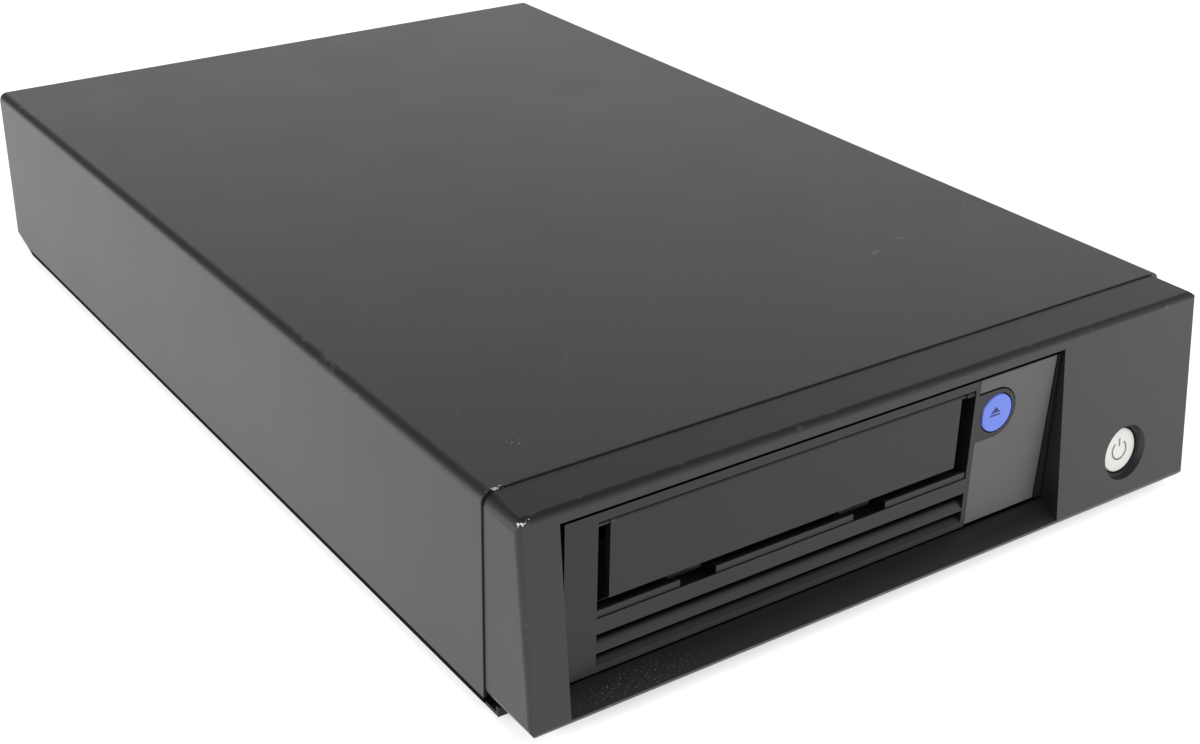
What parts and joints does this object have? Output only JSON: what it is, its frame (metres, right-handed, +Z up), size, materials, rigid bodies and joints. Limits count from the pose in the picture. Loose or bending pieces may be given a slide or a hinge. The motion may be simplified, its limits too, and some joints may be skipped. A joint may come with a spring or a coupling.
{
  "type": "external tape drive",
  "caption": "Desktop tape drive: flat black metal enclosure with a leaning bezel, a slot with a hinged door, louvred vents, a grey status panel, and eject and power buttons.",
  "frame": {"origin": "middle of the outline, at the lowest point of the feet", "axes": "+X to the right seen from the front, +Y from the front to the back, +Z up"},
  "size_m": [0.2138, 0.3318, 0.058],
  "materials": {
    "cover_paint": "black powder coat, satin",
    "bezel_plastic": "fine grained black moulding",
    "face_plastic": "fine grained black moulding",
    "panel_plastic": "grey satin moulding",
    "eject_plastic": "blue, half gloss",
    "button_plastic": "pale grey, satin",
    "pan_paint": "black paint, matt",
    "foot_rubber": "matt",
    "zinc_steel": "zinc plated",
    "cast_alloy": "as cast",
    "black_plastic": "matt black",
    "pale_plastic": "natural acetal",
    "board_green": "solder resist",
    "board_tan": "bare laminate",
    "cable_grey": "flat cable",
    "lead_yellow": "insulated wire",
    "brass": "turned",
    "bright_steel": "ground"
  },
  "bodies": {
    "enclosure": {"base_pan": "pan_paint", "top_cover": "cover_paint", "rear_panel": "pan_paint", "front_bezel": "bezel_plastic", "rubber_feet": "foot_rubber", "case_screws": "pan_paint", "power_supply_case": "zinc_steel", "power_supply_board": "board_tan", "power_supply_parts": "black_plastic", "inlet_socket": "black_plastic", "inlet_pins": "brass", "fan_frame": "black_plastic", "fan_screws": "zinc_steel", "data_sockets": "zinc_steel", "data_inserts": "black_plastic", "data_board": "board_green", "data_cable": "cable_grey", "power_lead": "lead_yellow", "bracket_left": "zinc_steel", "bracket_right": "zinc_steel", "bracket_screws": "zinc_steel", "power_switch": "black_plastic", "power_switch_board": "board_green", "drive_base": "cast_alloy", "drive_cover": "zinc_steel", "drive_screws": "zinc_steel", "faceplate": "face_plastic", "status_panel": "panel_plastic", "front_board": "board_green", "main_board": "board_green", "board_shield": "zinc_steel", "drive_connectors": "black_plastic", "supply_motor": "zinc_steel", "takeup_motor": "zinc_steel", "roller_posts": "bright_steel", "head_frame": "bright_steel", "head_motor": "zinc_steel", "cam_rails": "black_plastic", "loader_bracket": "zinc_steel", "loader_motor": "zinc_steel", "door_spring": "pan_paint"},
    "door": {"cartridge_door": "face_plastic"},
    "eject": {"eject_button": "eject_plastic"},
    "power": {"power_button": "button_plastic"},
    "fan": {"fan_rotor": "black_plastic"},
    "clutch": {"supply_clutch": "bright_steel"},
    "reel": {"takeup_reel": "black_plastic"},
    "roller_1": {"guide_roller_1": "bright_steel"},
    "roller_2": {"guide_roller_2": "bright_steel"},
    "roller_3": {"guide_roller_3": "bright_steel"},
    "roller_4": {"guide_roller_4": "bright_steel"},
    "head": {"head_carriage": "cast_alloy", "tape_head": "black_plastic"},
    "screw": {"lead_screw": "brass"},
    "tray": {"cartridge_tray": "black_plastic"},
    "slider": {"cam_slider": "zinc_steel"},
    "gear": {"loader_gear": "pale_plastic"},
    "pinion": {"loader_pinion": "brass"},
    "threader": {"threader_arm": "black_plastic", "leader_block": "pale_plastic"}
  },
  "joints": [
    {"name": "door_hinge", "type": "hinge", "parent": "enclosure", "child": "door", "pos_m": [-0.0289, -0.15845, 0.0488], "axis": [1, 0, 0], "range_deg": [0, 88], "stiffness_Nm_per_rad": 0.003, "springref_deg": -17.19},
    {"name": "eject_press", "type": "slide", "parent": "enclosure", "child": "eject", "axis": [0, 1, 0], "range_m": [0, 0.0012], "stiffness_N_per_m": 300, "springref_m": -0.002},
    {"name": "power_press", "type": "slide", "parent": "enclosure", "child": "power", "axis": [0, 0.9937, -0.1116], "range_m": [0, 0.0015], "stiffness_N_per_m": 300, "springref_m": -0.002},
    {"name": "fan_spin", "type": "hinge", "parent": "enclosure", "child": "fan", "pos_m": [-0.062, 0.15, 0.03], "axis": [0, 1, 0], "continuous": true},
    {"name": "clutch_spin", "type": "hinge", "parent": "enclosure", "child": "clutch", "pos_m": [-0.0289, -0.0845, 0.0226], "axis": [0, 0, 1], "continuous": true},
    {"name": "reel_spin", "type": "hinge", "parent": "enclosure", "child": "reel", "pos_m": [-0.026, 0.0045, 0.0316], "axis": [0, 0, 1], "continuous": true},
    {"name": "roller_spin_1", "type": "hinge", "parent": "enclosure", "child": "roller_1", "pos_m": [0.02386, -0.02604, 0.0316], "axis": [0, 0, 1], "continuous": true},
    {"name": "roller_spin_2", "type": "hinge", "parent": "enclosure", "child": "roller_2", "pos_m": [0.03254, -0.01736, 0.0316], "axis": [0, 0, 1], "continuous": true},
    {"name": "roller_spin_3", "type": "hinge", "parent": "enclosure", "child": "roller_3", "pos_m": [0.03254, 0.00236, 0.0316], "axis": [0, 0, 1], "continuous": true},
    {"name": "roller_spin_4", "type": "hinge", "parent": "enclosure", "child": "roller_4", "pos_m": [0.02386, 0.01104, 0.0316], "axis": [0, 0, 1], "continuous": true},
    {"name": "head_shift", "type": "slide", "parent": "enclosure", "child": "head", "axis": [0, 0, 1], "range_m": [-0.003, 0.003]},
    {"name": "screw_turn", "type": "hinge", "parent": "enclosure", "child": "screw", "pos_m": [0.022, -0.0075, 0.0316], "axis": [0, 0, 1], "range_deg": [-541, 541]},
    {"name": "cam_shift", "type": "slide", "parent": "enclosure", "child": "slider", "axis": [0, 1, 0], "range_m": [0, 0.01]},
    {"name": "tray_lift", "type": "slide", "parent": "enclosure", "child": "tray", "axis": [0, 0, 1], "range_m": [-0.005, 0]},
    {"name": "gear_turn", "type": "hinge", "parent": "enclosure", "child": "gear", "pos_m": [0.0326, -0.092, 0.0276], "axis": [0, 0, 1], "range_deg": [-144, 0]},
    {"name": "pinion_turn", "type": "hinge", "parent": "enclosure", "child": "pinion", "pos_m": [0.04205, -0.092, 0.0436], "axis": [0, 0, 1], "range_deg": [0, 288]},
    {"name": "threader_swing", "type": "hinge", "parent": "enclosure", "child": "threader", "pos_m": [0.014, -0.0075, 0.0446], "axis": [0, 0, 1], "range_deg": [0, 158]}
  ],
  "couplings": [
    {"joint": "screw_turn", "follows": "head_shift", "rad_per_m": 3141.6},
    {"joint": "tray_lift", "follows": "cam_shift", "ratio": -0.5},
    {"joint": "gear_turn", "follows": "cam_shift", "rad_per_m": -250},
    {"joint": "pinion_turn", "follows": "cam_shift", "rad_per_m": 500}
  ]
}
